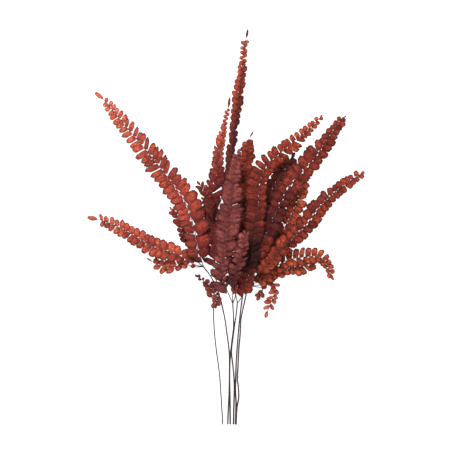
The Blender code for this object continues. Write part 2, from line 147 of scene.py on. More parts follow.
PINNAE = {
    "stipe_1": {
        "centre_left": pinna(
            [(-14, -78, 17), (-17, -50, 26), (-21, -14, 33), (-24, 20, 37), (-22, 41, 39),
             (-14.5, 80, 41), (-8.5, 118, 40), (-1.5, 156, 37), (3, 176, 34), (6.5, 193, 31)],
            18, 23, [(0, 20), (0.15, 15), (0.56, 15), (0.68, 16), (0.76, 9), (0.83, 5.5), (1, 4)],
            [(0, 14), (0.25, 20), (0.48, 22), (0.6, 10.5), (0.76, 7.5), (0.83, 5.5), (1, 4)],
            [(0, 10), (0.6, 9), (0.7, 7), (1, 7)], 14),
        "short_upright": pinna(
            [(-14, -78, 17), (-13, -50, 31), (-17, -10, 46), (-24, 28, 56), (-33, 52, 61),
             (-43, 67, 65)],
            18, 98, [(0, 14), (0.6, 13), (1, 10)], [(0, 12), (0.6, 12), (1, 9)],
            [(0, 8), (1, 6.5)], 24),
        "low_left": pinna(
            [(-19, -118, 8), (-22, -100, 7), (-26, -89, 5.5), (-36, -81, 4), (-47, -73, 2.5)],
            10, 15, [(0, 10.5), (0.4, 9), (0.6, 5), (1, 5)], [(0, 11), (0.4, 10), (0.6, 5), (1, 5)],
            [(0, 8), (1, 7)], 14),
        "hanging_left": pinna(
            [(-17.7, -101, 11.4), (-16, -99, 15.5), (-14.5, -102, 18), (-14.5, -111, 17.5),
             (-17, -124, 16)],
            5, 9, [(0, 5), (0.3, 9), (1, 8)], [(0, 8), (1, 8)], [(0, 6.5), (1, 6)], 10),
    },
    "stipe_2": {
        "upper_left": pinna(
            [(-34, -61, 26), (-37, -50, 32), (-42, -37, 39), (-47, -6, 48), (-60, 34, 50),
             (-80, 63, 48), (-111, 103, 43), (-153, 153, 29), (-182, 188, 11), (-197, 202, 2.5)],
            4, 12,
            [(0, 15), (0.05, 18), (0.2, 22), (0.5, 21.5), (0.6, 18.5), (0.8, 13), (0.92, 8.5),
             (1, 5)],
            [(0, 14), (0.07, 24), (0.37, 24), (0.4, 18), (0.44, 24), (0.55, 22), (0.64, 18),
             (0.8, 14), (0.92, 8.5), (1, 5)],
            [(0, 12), (0.35, 10.2), (1, 8.5)], 12),
        "left_edge_on": pinna(
            [(-34, -61, 26), (-43, -53, 26.5), (-53, -34, 28), (-62, -14, 30), (-70, 6, 31),
             (-84, 29, 30)],
            14, 44, [(0, 12), (0.6, 10), (1, 5)], [(0, 10), (0.6, 8), (1, 4)],
            [(0, 9), (1, 7)], 12, turn=20),
        "lower_left": pinna(
            [(-34, -61, 26), (-49, -57, 27), (-65, -47, 28), (-86, -38, 28), (-112, -30, 27),
             (-141, -12.5, 22), (-177, 5, 10), (-209, 14, 2)],
            9, 14.2, [(0, 7), (0.1, 10), (0.22, 17), (0.4, 17), (0.7, 13), (0.9, 8.5), (1, 6)],
            [(0, 17), (0.4, 17), (0.7, 13), (0.9, 9.5), (1, 5)],
            [(0, 11), (0.5, 9.5), (1, 8)], 14),
        "left_below": pinna(
            [(-34, -61, 26), (-48, -61, 21), (-64, -57, 17), (-81, -62, 14), (-103, -58, 11),
             (-119, -48, 8)],
            14, 28, [(0, 9), (0.15, 9), (0.3, 14), (0.5, 14), (0.8, 11), (1, 6)],
            [(0, 12), (0.5, 12), (1, 6)],
            [(0, 11.5), (1, 8.5)], 24),
    },
    "stipe_3": {
        "centre_front": pinna(
            [(10, -116, 23), (3, -100, 32), (-6, -76, 45), (-7, -60, 53), (-1, -34, 64),
             (3, 1, 70), (7, 31, 70), (10, 67, 66), (13, 88, 63), (16, 104, 60), (21, 115, 57)],
            20, 26, [(0, 20), (0.3, 19), (0.5, 19), (0.65, 18.5), (0.77, 14), (0.87, 9), (1, 7)],
            [(0, 10), (0.15, 13), (0.3, 19.5), (0.45, 21.5), (0.6, 18.5), (0.75, 14.5), (0.87, 9),
             (1, 7)],
            [(0, 9), (0.3, 8.4), (1, 7)], 14),
        "tallest": pinna(
            [(10, -116, 23), (14, -102, 29), (10, -70, 38), (3, -20, 46), (1, 30, 50),
             (3.5, 75, 50), (9.5, 127, 47), (15, 168, 44), (20, 205, 39), (24, 238, 30),
             (27.5, 271, 16), (34, 297, 2.5)],
            12, 17,
            [(0, 12), (0.5, 12.5), (0.66, 13), (0.75, 15.5), (0.82, 13), (0.88, 6), (0.93, 9), (1, 5)],
            [(0, 8), (0.15, 9), (0.5, 10.5), (0.66, 12.5), (0.75, 14), (0.82, 13), (0.88, 9),
             (1, 7)],
            [(0, 9), (0.8, 9), (1, 8)], 34),
        "front_fork": pinna(
            [(10, -116, 23), (10, -100, 33), (12, -78, 46), (16.5, -58, 57), (21, -45, 63),
             (24, -33, 68), (26, -20, 70), (27, -6, 69)],
            20, 34, [(0, 11), (0.5, 12), (1, 9)], [(0, 14), (0.5, 14), (1, 9)],
            [(0, 9), (1, 8)], 12, turn=16),
    },
    "stipe_4": {
        "behind_centre": pinna(
            [(17, -116, 13), (15, -100, 16), (20, -60, 26), (24, -20, 33), (27, 30, 37),
             (28, 80, 37), (31, 105, 35), (33, 128, 32), (42, 142, 28)],
            16, 26, [(0, 14), (0.5, 14), (0.8, 13), (0.9, 9), (1, 5)],
            [(0, 14), (0.5, 14), (0.8, 13.5), (0.9, 11), (1, 5)],
            [(0, 9.5), (1, 7.5)], 16),
        "curving_right": pinna(
            [(17, -116, 13), (25, -103, 22), (33, -75, 32), (42, -21, 49), (47, 22, 54),
             (49, 62, 54), (61, 91, 52), (85, 112, 49), (110, 134, 45), (132, 153, 39),
             (144, 166, 35)],
            11, 18, [(0, 13), (0.3, 20), (0.55, 20.5), (0.62, 17), (0.74, 14), (0.84, 9.5), (1, 5)],
            [(0, 13), (0.5, 16), (0.6, 17), (0.78, 17), (0.86, 11.5), (1, 5)],
            [(0, 9.6), (0.6, 9.2), (1, 7.5)], 12),
    },
    "stipe_5": {
        "arching_right": pinna(
            [(30, -87, 13), (50, -79, 15), (70, -64, 18), (93, -51, 22), (121, -46, 24),
             (140, -46, 21), (153, -60, 10), (161, -82, 2)],
            16, 26, [(0, 14.5), (0.5, 14.5), (0.7, 12), (0.8, 9), (1, 6)],
            [(0, 14), (0.5, 15), (0.65, 12), (0.8, 8), (1, 6)],
            [(0, 10), (0.7, 9), (1, 7.5)], 12),
        "arching_under": pinna(
            [(30, -87, 13), (52, -84, 11), (72, -74, 11), (92, -65, 11), (115, -60, 10),
             (138, -54, 8)],
            12, 18, [(0, 13), (0.7, 12), (1, 8)], [(0, 10), (0.25, 10), (0.45, 14), (0.7, 15), (1, 9)],
            [(0, 9.5), (1, 8)], 10),
        "hanging_right": pinna(
            [(30, -87, 13), (46, -90, 6), (65, -83, 3.4), (74.5, -92, 3), (70, -109, 2.6),
             (58.5, -138, 2)],
            14, 24, [(0, 8), (1, 9)], [(0, 7), (0.5, 11), (1, 9)],
            [(0, 8.5), (1, 7)], 8),
        "small_low": pinna(
            [(30, -87, 13), (42, -91, 9.5), (53, -93, 7), (55, -99, 6.5), (50, -106, 6),
             (46, -112, 5.5)],
            10, 26, [(0, 8), (1, 8)], [(0, 8), (1, 8)], [(0, 8), (1, 8)], 8),
        "back_inner": pinna(
            [(30, -87, 13), (36, -72, 18.5), (53, -50, 21), (68, -21, 21.5), (80, 12, 21)],
            16, 26, [(0, 15), (0.7, 14), (1, 9)], [(0, 15), (0.7, 14), (1, 9)],
            [(0, 10.5), (1, 9)], 12),
    },
    "stipe_6": {
        "lower_right": pinna(
            [(32, -86, 18.5), (46, -73, 25), (68, -50, 33), (97, -20.5, 37), (120.5, 3, 37),
             (140, 29, 34), (164, 51.2, 25), (193, 72.2, 10), (209, 81.5, 2.5)],
            16, 26, [(0, 15), (0.25, 17), (0.4, 18), (0.6, 14.5), (0.8, 12), (0.93, 9), (1, 9)],
            [(0, 14), (0.25, 14.5), (0.38, 17.5), (0.6, 14), (0.8, 11.5), (0.93, 9), (1, 9)],
            [(0, 9), (0.3, 10.5), (0.5, 10.5), (1, 8)], 12),
        "upper_right": pinna(
            [(32, -86, 18.5), (38, -66, 29), (53, -28, 41), (77, 26, 44), (96, 60, 43),
             (128, 97, 38), (149, 125, 28), (171, 158, 8), (182, 166, 3)],
            16, 40, [(0, 16), (0.45, 17), (0.6, 20), (0.7, 20), (0.76, 12.5), (0.92, 9), (1, 6)],
            [(0, 16), (0.45, 17), (0.55, 18), (0.8, 15), (0.92, 10.5), (1, 6)],
            [(0, 12), (0.6, 12.5), (0.85, 10.5), (1, 7.5)], 12),
        "back_right": pinna(
            [(32, -86, 18.5), (47, -62, 21.5), (70, -28, 25.5), (91, 4, 27.5), (107, 39, 27),
             (116, 78, 25), (119, 94, 24)],
            16, 44, [(0, 15), (0.7, 14), (1, 9)], [(0, 16), (0.2, 20), (0.4, 18), (0.7, 14), (1, 9)],
            [(0, 11), (0.6, 9.5), (1, 8)], 12),
        "back_middle": pinna(
            [(32, -86, 18.5), (38, -60, 24), (47, -14, 30), (60, 25, 31.5), (73, 62, 31),
             (104, 110, 28)],
            16, 46, [(0, 15), (0.8, 14), (1, 9)], [(0, 15), (0.8, 14), (1, 9)],
            [(0, 11), (1, 9.5)], 12),
    },
}


def look(colour, cover=((0, 1.1), (1, 1.0)), lean=(66, 66), square=0.5, heel=0.1, foot=0.8, stalk=0.1,
         tilt=18, bend=0.1, cup=-0.08, loose=1.0, tone=(0.0, 1.1),
         shade=((0, 0.4), (0.7, 1.0), (1, 1.4)), right_shade=None, right_pitch=None,
         tip=(13, 5), thread=3):
    """How the pinnules of one pinna look. What changes along the blade is given as pairs of (share of
    the way from the first pinnule to the tip, value).

    cover: their width over their pitch, in pairs. lean: angle between them and the rachis, in
    degrees, on the left and on the right, each a number or pairs. square: how round the outer half
    is, from 0.5, an ellipse, down to 0, a rectangle; heel: the same for the inner half. foot: width
    at the foot, as a share. stalk: gap beside the rachis, in mm, a number or pairs. tilt: about
    their own length, like roof tiles, in degrees. bend and cup: how far the end hangs and the sides
    rise, as shares of length and width. loose: how uneven they are, with 1 for most blades. tone:
    range of their own colours, from dark to bright. shade: painted light and shade in pairs, where
    0 paints the shade in the heart of the bunch, 1 is the plain colour and 2 paints the most light;
    the leaflet at the tip has the last one. right_shade and right_pitch: of the right row, where it
    differs. tip: length and width of the leaflet at the tip, in mm. thread: bare stretch below that
    leaflet, in mm.
    """
    return {
        "colour": colour, "cover": cover, "lean": lean, "square": square, "heel": heel, "foot": foot,
        "stalk": stalk, "tilt": radians(tilt), "bend": bend, "cup": cup, "loose": loose, "tone": tone,
        "shade": shade, "right_shade": right_shade, "right_pitch": right_pitch, "tip": tip,
        "thread": thread,
    }


# The two blades in front, whose pinnules overlap like ruffles over a hidden rachis
RUFFLED = {
    "square": 0.36, "heel": 0, "foot": 1, "stalk": -0.4, "tilt": 24, "bend": 0.16, "cup": -0.14,
    "tip": (9, 5), "thread": 1,
}

# The shade pairs of each look paint the light and shade that its blade gets in the bunch
LOOKS = {
    "centre_left": look(
        "coral", cover=((0, 1.3), (1, 1.1)), lean=(((0, 72), (0.3, 50), (1, 48)), 50),
        heel=0, foot=1, tip=(18, 4.2), thread=5,
        shade=((0, 0.3), (0.2, 0.4), (0.4, 0.3), (0.55, 0.5), (0.72, 0.95), (0.95, 1.1), (1, 0.3))),
    "short_upright": look(
        "brick", cover=((0, 1.2), (1, 1.0)), lean=(45, 45), tip=(9, 4), thread=1,
        shade=((0, 0.5), (1, 0.7))),
    "low_left": look(
        "brown", cover=((0, 1.3), (1, 1.0)), tip=(8, 3.4), thread=2, shade=((0, 1.5), (1, 1.8))),
    "hanging_left": look(
        "brown", cover=((0, 1.2), (1, 1.2)), tip=(8, 5.6), thread=0, shade=((0, 2.0), (1, 2.0))),
    "upper_left": look(
        "coral", cover=((0, 1.2), (0.4, 1.12), (0.5, 1.04), (0.8, 0.9), (1, 0.82)),
        lean=(78, ((0, 84), (0.39, 76), (0.45, 58))),
        foot=0.9, stalk=((0, 0.4), (0.2, 0.9), (0.35, 0.8), (0.45, 0.1), (1, 0.0)),
        tilt=8, loose=0.9, tip=(18, 6.8), thread=5,
        shade=((0, 0.4), (0.15, 0.75), (0.3, 0.9), (0.45, 0.85), (0.62, 0.95), (0.87, 1.3), (1, 1.7)),
        right_shade=((0, 0.3), (0.15, 0.7), (0.3, 0.85), (0.45, 0.55), (0.62, 0.8), (0.72, 1.05),
                     (1, 1.7)),
        right_pitch=((0, 19), (0.16, 18), (0.3, 12.5), (0.36, 10), (1, 8.5))),
    "left_edge_on": look(
        "brick", cover=((0, 1.2), (1, 1.0)), lean=(50, 50), tip=(9, 3), thread=2,
        shade=((0, 0.3), (0.5, 0.9), (1, 1.3))),
    "lower_left": look(
        "coral", cover=((0, 1.3), (0.6, 1.08), (0.85, 0.9), (1, 0.8)), lean=(76, 68),
        square=0.46, foot=0.9, loose=0.8, tip=(17, 7), thread=4,
        shade=((0, 0.7), (0.2, 0.85), (0.35, 1.05), (0.7, 1.05), (1, 1.4))),
    "left_below": look(
        "coral", cover=((0, 1.3), (1, 1.0)), tip=(10, 2.8), thread=3, shade=((0, 1.3), (1, 2.0))),
    "centre_front": look(
        "mauve", cover=((0, 2.0), (0.12, 1.6), (1, 1.4)), lean=(72, 72), **RUFFLED,
        shade=((0, 1.3), (0.4, 1.05), (0.6, 0.75), (0.8, 0.85), (1, 1.4)),
        right_shade=((0, 1.3), (0.4, 1.25), (0.6, 1.15), (0.8, 1.3), (1, 1.5))),
    "tallest": look(
        "brick", cover=((0, 1.5), (0.75, 1.35), (1, 0.95)), lean=(46, 46), foot=0.9, loose=1.15,
        tone=(-0.4, 1.5), tip=(18, 3.4), thread=8,
        shade=((0, 1.6), (0.06, 0.6), (0.12, 0.3), (0.45, 0.4), (0.63, 0.6), (0.7, 1.1), (0.85, 1.5),
               (0.96, 1.9), (1, 0.3)),
        right_shade=((0, 1.6), (0.06, 0.6), (0.12, 0.3), (0.45, 0.35), (0.6, 0.3), (0.75, 0.6),
                     (0.9, 1.5), (1, 1.7))),
    "front_fork": look(
        "mauve", cover=((0, 1.5), (1, 1.4)), **RUFFLED,
        shade=((0, 0.2), (0.12, 0.5), (0.3, 1.3), (1, 1.3))),
    "behind_centre": look(
        "brick", cover=((0, 1.5), (1, 1.4)), heel=0, foot=1, stalk=-0.4, tip=(13, 2.4), thread=8,
        shade=((0, 1.9), (0.06, 1.2), (0.12, 0.5), (0.3, 0.9), (0.7, 1.0), (0.85, 0.95), (0.95, 1.3),
               (1, 0.1))),
    "curving_right": look(
        "brick", cover=((0, 1.45), (0.52, 1.4), (0.6, 1.02), (1, 0.88)), lean=(84, 62),
        square=0.42, heel=0, foot=1, loose=0.8, tip=(5, 3.4), thread=1,
        shade=((0, 1.1), (0.09, 0.7), (0.14, 0.0), (0.24, 0.0), (0.34, 0.6), (0.5, 0.7), (0.57, 0.8),
               (0.72, 1.05), (0.82, 1.4), (1, 1.7))),
    "arching_right": look(
        "brick", cover=((0, 1.15), (1, 0.9)), lean=(80, 66), square=0.42, loose=0.7,
        tip=(11, 4.6), thread=1,
        shade=((0, 1.1), (0.5, 1.15), (0.7, 1.6), (1, 2.0)),
        right_shade=((0, 1.3), (0.5, 1.6), (0.7, 2.0), (1, 2.2))),
    "arching_under": look(
        "brick", cover=((0, 1.3), (1, 1.1)), lean=(66, 60), square=0.42, tip=(10, 4.6), thread=1,
        shade=((0, 1.9), (1, 2.2))),
    "hanging_right": look(
        "coral", cover=((0, 1.0), (1, 0.9)), tip=(11, 6), thread=4, shade=((0, 0.5), (1, 1.3))),
    "small_low": look(
        "brown", cover=((0, 1.0), (1, 1.0)), tip=(10, 6), thread=1, shade=((0, 1.4), (1, 1.8))),
    "back_inner": look("brown", cover=((0, 1.5), (1, 1.4)), shade=((0, 0.0), (1, 0.4))),
    "lower_right": look(
        "brick", cover=((0, 1.4), (0.4, 1.25), (0.6, 1.05), (1, 0.95)), lean=(70, 70),
        square=0.42, heel=0, foot=1, tip=(8, 5.4), thread=1,
        stalk=((0, 0.1), (0.35, 0.3), (0.42, 1.0), (0.55, 1.0), (0.62, 0.2), (1, 0.1)),
        shade=((0, 1.3), (0.2, 0.95), (0.4, 0.75), (0.6, 0.6), (0.75, 0.75), (1, 1.6)),
        right_shade=((0, 1.3), (0.2, 0.95), (0.4, 0.9), (0.6, 0.9), (0.75, 1.0), (1, 1.7))),
    "upper_right": look(
        "brick", cover=((0, 1.4), (0.5, 1.3), (0.7, 1.1), (1, 1.0)), lean=(68, 68),
        square=0.46, heel=0, foot=0.95, tip=(9, 2), thread=1,
        stalk=((0, 0.1), (0.35, 0.2), (0.45, 1.4), (0.58, 1.4), (0.63, 0.2), (0.68, 0.8), (0.74, 0.2),
               (1, 0.1)),
        shade=((0, 0.9), (0.08, 0.8), (0.15, 0.3), (0.3, 0.35), (0.5, 0.75), (0.64, 0.65), (0.8, 0.65),
               (0.95, 0.9), (1, 0.1))),
    "back_right": look(
        "brick", cover=((0, 1.35), (1, 1.2)), lean=(66, 72),
        shade=((0, 1.3), (0.3, 1.1), (0.5, 1.6), (0.7, 2.3), (1, 2.5))),
    "back_middle": look(
        "brown", cover=((0, 1.5), (1, 1.4)), heel=0, foot=1,
        shade=((0, 0.3), (0.6, 1.0), (1, 1.35))),
}


# ---------------------------------------------------------------- routes
def smooth_route(points):
    """Evenly spaced points on the Catmull-Rom curve through the given ones, in metres: between two
    knots the point is a cubic blend of the knot before, both ends and the knot after."""
    knots = np.array(points, float)
    knots[:, :2] -= CENTRE
    padded = np.vstack([2 * knots[0] - knots[1], knots, 2 * knots[-1] - knots[-2]])
    place = np.linspace(0, len(knots) - 1, ROUTE_SAMPLES)
    span = np.minimum(place.astype(int), len(knots) - 2)
    u = (place - span)[:, None]
    before, start, end, after = (padded[span + step] for step in range(4))
    curve = 0.5 * MM * (
        2 * start
        + (end - before) * u
        + (2 * before - 5 * start + 4 * end - after) * u**2
        + (3 * start - before - 3 * end + after) * u**3
    )
    return along(curve, np.linspace(0, 1, ROUTE_SAMPLES) * route_length(curve))


def route_length(curve):
    return np.linalg.norm(np.diff(curve, axis=0), axis=1).sum()


def along(curve, distances):
    """The curve's points at these distances from its start."""
    reached = np.append(0, np.cumsum(np.linalg.norm(np.diff(curve, axis=0), axis=1)))
    return np.stack([np.interp(distances, reached, curve[:, axis]) for axis in range(3)], axis=1)


def unit(vectors):
    return vectors / np.linalg.norm(vectors, axis=-1, keepdims=True)


def frames(curve, distances, turn=0.0):
    """Point, forward, right and up at each distance: forward is the chord over a millimetre, right is
    level and square to it, and right and up are turned about forward by the given angle."""
    step = 0.5 * MM
    points = along(curve, distances)
    forward = unit(along(curve, distances + step) - along(curve, distances - step))
    level = unit(np.cross(forward, (0.0, 0.0, 1.0)))
    plumb = np.cross(level, forward)
    right = level * cos(turn) - plumb * sin(turn)
    return points, forward, right, np.cross(right, forward)


# ---------------------------------------------------------------- surfaces
# tone: own colour, dark to bright. shade: painted light and shade of the place, from 0 in the
# shaded heart of the bunch through 1, the plain colour, to 2, the most painted light. rim: 1 at
# the edge. reach: share of the way out. fan: direction from the foot. wood: 1 on rachis and stalks
VALUE_NAMES = ("tone", "shade", "rim", "reach", "fan", "wood")
SHARPEST_SMOOTH_ANGLE = radians(70)


class Surface:
    """Points, four-cornered faces and named values at the points, gathered until they make one mesh."""

    def __init__(self):
        self.points = []
        self.faces = []
        self.values = {}
        self.count = 0

    def add(self, points, faces, **values):
        """Adds points (n, 3), faces (m, 4) that index them, and a value or n values for each name."""
        points = points.reshape(-1, 3)
        self.points.append(points)
        self.faces.append(faces.reshape(-1, 4) + self.count)
        for name in VALUE_NAMES:
            filled = np.broadcast_to(values.get(name, 0.0), len(points))
            self.values.setdefault(name, []).append(filled)
        self.count += len(points)

    def object(self, name, finish):
        """One mesh object at the origin, smooth but for its sharp rims."""
        points = np.concatenate(self.points)
        faces = np.concatenate(self.faces)
        mesh = bpy.data.meshes.new(name)
        mesh.vertices.add(len(points))
        mesh.vertices.foreach_set("co", points.astype(np.float32).ravel())
        mesh.loops.add(faces.size)
        mesh.loops.foreach_set("vertex_index", faces.astype(np.int32).ravel())
        mesh.polygons.add(len(faces))
        mesh.polygons.foreach_set("loop_start", np.arange(0, faces.size, 4, dtype=np.int32))
        mesh.update(calc_edges=True)
        for label, parts in self.values.items():
            layer = mesh.attributes.new(label, "FLOAT", "POINT")
            layer.data.foreach_set("value", np.concatenate(parts).astype(np.float32))
        mesh.materials.append(finish)
        mesh.shade_smooth()
        mesh.set_sharp_from_angle(angle=SHARPEST_SMOOTH_ANGLE)
        made = bpy.data.objects.new(name, mesh)
        bpy.context.scene.collection.objects.link(made)
        return made


def rod(surface, curve, radii, mesh, grooves=0.0, **values):
    """A closed round rod: a ring of points square to the curve every step, its radius going evenly
    from the first to the second. Four grooves run along it, where 1 - grooves cos^8 of twice the
    angle shrinks the radius, and a fan of four-cornered faces closes each end."""
    sides, step = mesh
    margin = 0.6 * MM  # room for the chords that give the directions at the ends
    total = route_length(curve)
    count = max(4, round(total / (step * MM)) + 1)
    distances = np.linspace(0, total, count)
    _, _, right, up = frames(curve, np.clip(distances, margin, total - margin))
    points = along(curve, distances)
    radius = np.linspace(radii[0], radii[1], count) * MM
    angle = (np.arange(sides) + 0.5) * 2 * pi / sides
    swell = 1 - grooves * np.cos(angle * 2 + 0.6) ** 8
    ring = right[:, None] * np.cos(angle)[:, None] + up[:, None] * np.sin(angle)[:, None]
    body = points[:, None] + radius[:, None, None] * swell[:, None] * ring
    rows = np.arange(count - 1)[:, None] * sides
    here = np.arange(sides)
    there = (here + 1) % sides
    walls = np.stack([rows + here, rows + sides + here, rows + sides + there, rows + there], axis=2)
    half = np.arange(1, sides // 2)
    fan = np.stack([np.zeros_like(half), 2 * half - 1, 2 * half, 2 * half + 1], axis=1)
    last = (count - 1) * sides
    faces = np.concatenate([walls.reshape(-1, 4), fan, last + fan[:, ::-1]])
    surface.add(body, faces, **values)


def disc_grid(rows, columns):
    """A square grid, given as its two coordinates a and b from -1 to 1, for a closed shell with two
    sides that share their rim: also which points lie on the lower side, and the faces."""
    a, b = np.meshgrid(np.linspace(-1, 1, rows), np.linspace(-1, 1, columns), indexing="ij")
    upper = np.arange(rows * columns).reshape(rows, columns)
    lower = upper.copy()
    inside = (rows - 2) * (columns - 2)
    lower[1:-1, 1:-1] = rows * columns + np.arange(inside).reshape(rows - 2, columns - 2)
    faces = []
    for layer, order in ((upper, (0, 1, 2, 3)), (lower, (3, 2, 1, 0))):
        corners = (layer[:-1, :-1], layer[1:, :-1], layer[1:, 1:], layer[:-1, 1:])
        faces.append(np.stack([corners[k] for k in order], axis=-1).reshape(-1, 4))
    kept = np.concatenate([upper.ravel(), upper[1:-1, 1:-1].ravel()])
    under = np.concatenate([np.zeros(rows * columns), np.ones(inside)])
    return a.ravel()[kept], b.ravel()[kept], under, np.concatenate(faces)


def pinnules(surface, foot, lean, up, side, length, width, square, heel, narrow, bend, cup, tilt,
             tone, shade, rng):
    """Thin closed leaves, one for each foot. A square grid (a, b) is rounded to
    x = a sqrt(1 - square b^2), y = b sqrt(1 - square a^2), with heel for square in the inner half,
    and stretched to the length and width, narrower towards the foot. With u the share of the way
    out, the middle sweeps sideways by u^2, the end hangs by bend u^2, the sides rise by cup y^2 or
    hang where cup is negative, and the rim ripples across the width. Then the leaf is turned about
    its own length by the tilt."""
    a, b, under, faces = disc_grid(*LEAF_GRID)
    count = len(foot)
    rounding = np.where(a > 0, square, heel)
    x = a * np.sqrt(1 - rounding * b**2)
    y = b * np.sqrt(1 - rounding * a**2)
    rim = np.maximum(np.abs(a), np.abs(b))
    edge = rim > 0.99
    out = 0.5 * (x + 1)
    uneven = UNEVEN_RIM * rng.standard_normal((count, len(x))) * edge
    taper = narrow + (1 - narrow) * np.clip(out / FOOT_REACH, 0, 1) ** 0.7
    reach = length[:, None] * (out + 0.6 * uneven * out)
    sweep = side[:, None] * SWEEP * length[:, None] * out**2
    across = 0.5 * width[:, None] * y * taper * (1 + uneven) + sweep
    thick = LEAF_THICKNESS * MM * (1 - rim**4) * (0.5 - under)
    wave = np.sin(RIPPLE_WAVES * pi * y + RIPPLE_PHASE * tone[:, None])
    height = (
        cup[:, None] * width[:, None] * y**2
        - bend[:, None] * length[:, None] * out**2
        + RIPPLE * length[:, None] * wave * out * rim
        + thick
    )
    sideways = np.cross(up, lean)
    turn = (tilt * side)[:, None]
    level = sideways * np.cos(turn) + up * np.sin(turn)
    plumb = np.cross(lean, level)
    points = (
        foot[:, None]
        + lean[:, None] * reach[..., None]
        + level[:, None] * across[..., None]
        + plumb[:, None] * height[..., None]
    )
    lowest = points[..., 2].min(axis=1)
    points[..., 2] += np.maximum(0, LEAST_HEIGHT * MM - lowest)[:, None]
    starts = (np.arange(count) * len(x))[:, None, None]
    surface.add(
        points, faces[None] + starts,
        tone=np.repeat(tone, len(x)),
        shade=np.repeat(shade, len(x)),
        rim=np.tile(rim, count),
        reach=np.tile(out, count),
        fan=np.tile(np.arctan2(y * taper, out + VEIN_APEX), count),
    )


def stalks(surface, start, end):
    """A straight hair from each start to its end, with corners at even angles round it."""
    lean = unit(end - start)
    sideways = unit(np.cross(lean, (0.0, 0.0, 1.0)))
    upright = np.cross(sideways, lean)
    here = np.arange(STALK_SIDES)
    there = (here + 1) % STALK_SIDES
    angle = (here + 0.5) * 2 * pi / STALK_SIDES
    ring = STALK_RADIUS * MM * (
        sideways[:, None] * np.cos(angle)[:, None] + upright[:, None] * np.sin(angle)[:, None]
    )
    points = np.concatenate([start[:, None] + ring, end[:, None] + ring], axis=1)
    walls = np.stack([here, here + STALK_SIDES, there + STALK_SIDES, there], axis=1)
    faces = np.concatenate([walls, [here, here[::-1] + STALK_SIDES]])
    starts = (np.arange(len(start)) * 2 * STALK_SIDES)[:, None, None]
    surface.add(points, faces[None] + starts, wood=1.0, tone=0.5, shade=1.0)


# ---------------------------------------------------------------- the plant
def at_share(value, share):
    """A plain value, or the line drawn through its (share, value) pairs."""
    return np.full_like(share, value) if np.isscalar(value) else np.interp(share, *np.transpose(value))


def pinnule_places(design, pitch, end):
    """Distances of one row's pinnules from the fork, in mm, at the pitch given along the way."""
    shares, pitches = np.transpose(pitch)
    places = [design["bare"]]
    while places[-1] < end:
        share = (places[-1] - design["bare"]) / (end - design["bare"])
        places.append(places[-1] + np.interp(share, shares, pitches))
    return np.array(places[:-1])


def make_row(surface, design, traits, curve, total, side, rng):
    """One row of pinnules on hair-thin stalks, to the left (side -1) or the right (side 1). The right
    row stands half a pitch further on, and each pinnule strays a little from its designed place,
    direction, size and colour."""
    on_right = side > 0
    loose = traits["loose"]
    end = total - traits["tip"][0] - traits["thread"]
    pitch = traits["right_pitch"] if on_right and traits["right_pitch"] else design["pitch"]
    places = pinnule_places(design, pitch, end)
    gap = np.gradient(places)
    if on_right:
        places = places + 0.5 * gap
    count = len(places)
    places = places + UNEVEN_PLACE * gap * rng.standard_normal(count)
    places = np.clip(places, 0, end + OVERRUN)
    share = (places - design["bare"]) / (total - design["bare"])

    points, forward, right, up = frames(curve, places * MM, design["turn"])
    angles = traits["lean"][1 if on_right else 0]
    lean_angle = np.radians(at_share(angles, share) + UNEVEN_LEAN * loose * rng.standard_normal(count))
    droop = design["droop"] + UNEVEN_DROOP * loose * rng.standard_normal(count)
    out = side * right * np.cos(droop)[:, None] - up * np.sin(droop)[:, None]
    lean = forward * np.cos(lean_angle)[:, None] + out * np.sin(lean_angle)[:, None]
    normal = unit(np.cross(np.cross(lean, up), lean))

    length = at_share(design["right" if on_right else "left"], share) * MM
    length *= LENGTHENED + UNEVEN_LENGTH * loose * rng.standard_normal(count)
    width = gap * MM * at_share(traits["cover"], share) * np.sin(lean_angle)
    width = np.minimum(width, BROADEST * length)
    width *= WIDENED + UNEVEN_WIDTH * loose * rng.standard_normal(count)
    fullness = np.clip(length / (FULL_STALK_LENGTH * MM), LEAST_STALK, 1)
    stalk = at_share(traits["stalk"], share) * MM * fullness
    foot = points + lean * stalk[:, None]

    tone = rng.uniform(*traits["tone"], count)
    # Painted light and shade of each pinnule, read off its blade's pairs and a little uneven
    shades = traits["right_shade"] if on_right and traits["right_shade"] else traits["shade"]
    shade = at_share(shades, share) * (1 + UNEVEN_SHADE * rng.standard_normal(count))
    pinnules(
        surface, foot, lean, normal, side * np.ones(count), length - stalk, width,
        traits["square"], traits["heel"], traits["foot"],
        bend=traits["bend"] * (1 + UNEVEN_BEND * rng.standard_normal(count)),
        cup=traits["cup"] * (1 + UNEVEN_CUP * rng.standard_normal(count)),
        tilt=traits["tilt"] + UNEVEN_TILT * loose * rng.standard_normal(count),
        tone=tone, shade=shade, rng=rng,
    )
    stalks(surface, points - lean * STALK_ROOT * MM, foot + lean * STALK_HOLD * length[:, None])


def make_pinna(name, design, traits, finish, rng):
    """One pinna: its rachis, its two rows of alternate pinnules, and the leaflet at its tip, which
    points the way that the rachis goes over most of the leaflet's length."""
    surface = Surface()
    curve = smooth_route(design["route"])
    total = route_length(curve) / MM
    for side in (-1, 1):
        make_row(surface, design, traits, curve, total, side, rng)
    length, width = traits["tip"]
    place = np.array([total - length, total - 0.3 * length]) * MM
    points, _, _, up = frames(curve, place, design["turn"])
    one = np.ones(1)
    pinnules(
        surface, points[:1], unit(points[1:] - points[:1]), up[:1], one, one * length * MM,
        one * width * MM, square=0.5, heel=0.5, narrow=0.4, bend=one * 0.05, cup=one * -0.1,
        tilt=one * 0, tone=one * 0.8, shade=one * traits["shade"][-1][1], rng=rng,
    )
    rachis = along(curve, np.linspace(design["arm"] + RACHIS_START, total - 0.7 * length, 120) * MM)
    rod(surface, rachis, RACHIS_RADIUS, RACHIS_MESH, wood=1.0, tone=0.6, shade=1.0)
    return surface.object(name, finish)


